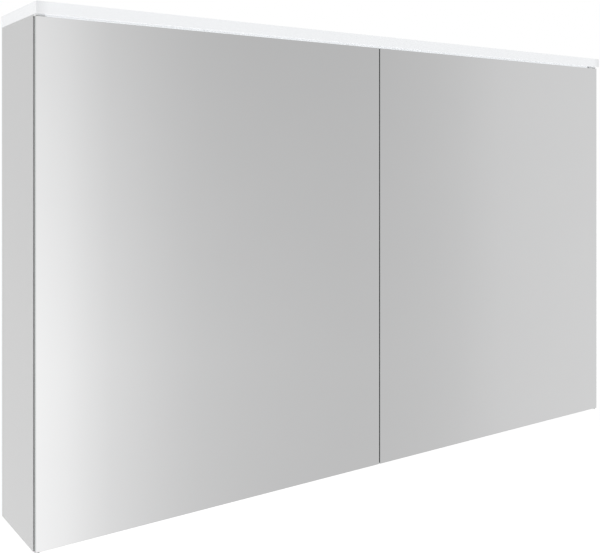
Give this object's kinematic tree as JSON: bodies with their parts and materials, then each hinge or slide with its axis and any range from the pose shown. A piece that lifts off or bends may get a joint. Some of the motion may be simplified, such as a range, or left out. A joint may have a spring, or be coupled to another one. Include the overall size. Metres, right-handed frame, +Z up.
{
  "type": "medicine cabinet with mirror",
  "caption": "Wall-hung mirror cabinet with two pivot-hinged mirror doors, glass shelves inside and a luminous canopy across the top.",
  "frame": {"origin": "middle of the cabinet's bounding box in plan, at its underside", "axes": "+X to the right along the width, +Y back to the wall, +Z up; the mirrors face -Y"},
  "size_m": [1.202, 0.162, 0.744],
  "materials": {
    "lacquered_board": "light grey satin lacquer",
    "mirror": "polished silvered glass",
    "frame_aluminium": "satin anodised",
    "steel": "zinc plated",
    "opal_diffuser": "opal, lit from behind",
    "shelf_glass": "clear float glass, ground edges",
    "white_plastic": "fine satin moulding",
    "grey_plastic": "soft matt",
    "led_board": "white solder mask"
  },
  "bodies": {
    "cabinet": {"back_panel": "lacquered_board", "bottom_panel": "lacquered_board", "cable_inlet": "grey_plastic", "canopy_base_plate": "frame_aluminium", "canopy_cover": "opal_diffuser", "canopy_led_strip": "led_board", "catch_magnet_left": "steel", "catch_magnet_right": "steel", "centre_partition": "lacquered_board", "hanging_rail": "frame_aluminium", "led_driver": "white_plastic", "light_bar": "opal_diffuser", "light_bar_led_strip": "led_board", "outlet_box": "white_plastic", "pivot_plate_bottom_left": "steel", "pivot_plate_bottom_right": "steel", "pivot_plate_top_left": "steel", "pivot_plate_top_right": "steel", "shelf_left_lower": "shelf_glass", "shelf_left_upper": "shelf_glass", "shelf_pin_left_lower_front_inner": "steel", "shelf_pin_left_lower_front_outer": "steel", "shelf_pin_left_lower_rear_inner": "steel", "shelf_pin_left_lower_rear_outer": "steel", "shelf_pin_left_upper_front_inner": "steel", "shelf_pin_left_upper_front_outer": "steel", "shelf_pin_left_upper_rear_inner": "steel", "shelf_pin_left_upper_rear_outer": "steel", "shelf_pin_right_lower_front_inner": "steel", "shelf_pin_right_lower_front_outer": "steel", "shelf_pin_right_lower_rear_inner": "steel", "shelf_pin_right_lower_rear_outer": "steel", "shelf_pin_right_upper_front_inner": "steel", "shelf_pin_right_upper_front_outer": "steel", "shelf_pin_right_upper_rear_inner": "steel", "shelf_pin_right_upper_rear_outer": "steel", "shelf_right_lower": "shelf_glass", "shelf_right_upper": "shelf_glass", "side_panel_left": "lacquered_board", "side_panel_right": "lacquered_board", "socket_insert": "white_plastic", "top_panel": "lacquered_board"},
    "left_door": {"door_left_bottom_pivot": "steel", "door_left_bottom_rail": "steel", "door_left_free_stile": "frame_aluminium", "door_left_hinge_stile": "frame_aluminium", "door_left_mirror": "mirror", "door_left_rear_mirror": "mirror", "door_left_top_pivot": "steel", "door_left_top_rail": "frame_aluminium"},
    "right_door": {"door_right_bottom_pivot": "steel", "door_right_bottom_rail": "steel", "door_right_free_stile": "frame_aluminium", "door_right_hinge_stile": "frame_aluminium", "door_right_mirror": "mirror", "door_right_rear_mirror": "mirror", "door_right_top_pivot": "steel", "door_right_top_rail": "frame_aluminium"},
    "switch_rocker": {"switch_rocker": "white_plastic"}
  },
  "joints": [
    {"name": "left_door_hinge", "type": "hinge", "parent": "cabinet", "child": "left_door", "pos_m": [-0.5965, -0.07125, 0.3635], "axis": [0, 0, -1], "range_deg": [0, 110]},
    {"name": "right_door_hinge", "type": "hinge", "parent": "cabinet", "child": "right_door", "pos_m": [0.5965, -0.07125, 0.3635], "axis": [0, 0, 1], "range_deg": [0, 110]},
    {"name": "switch_rocker_pivot", "type": "hinge", "parent": "cabinet", "child": "switch_rocker", "pos_m": [0.55225, -0.013, 0.108], "axis": [0, 1, 0], "range_deg": [0, 10]}
  ]
}
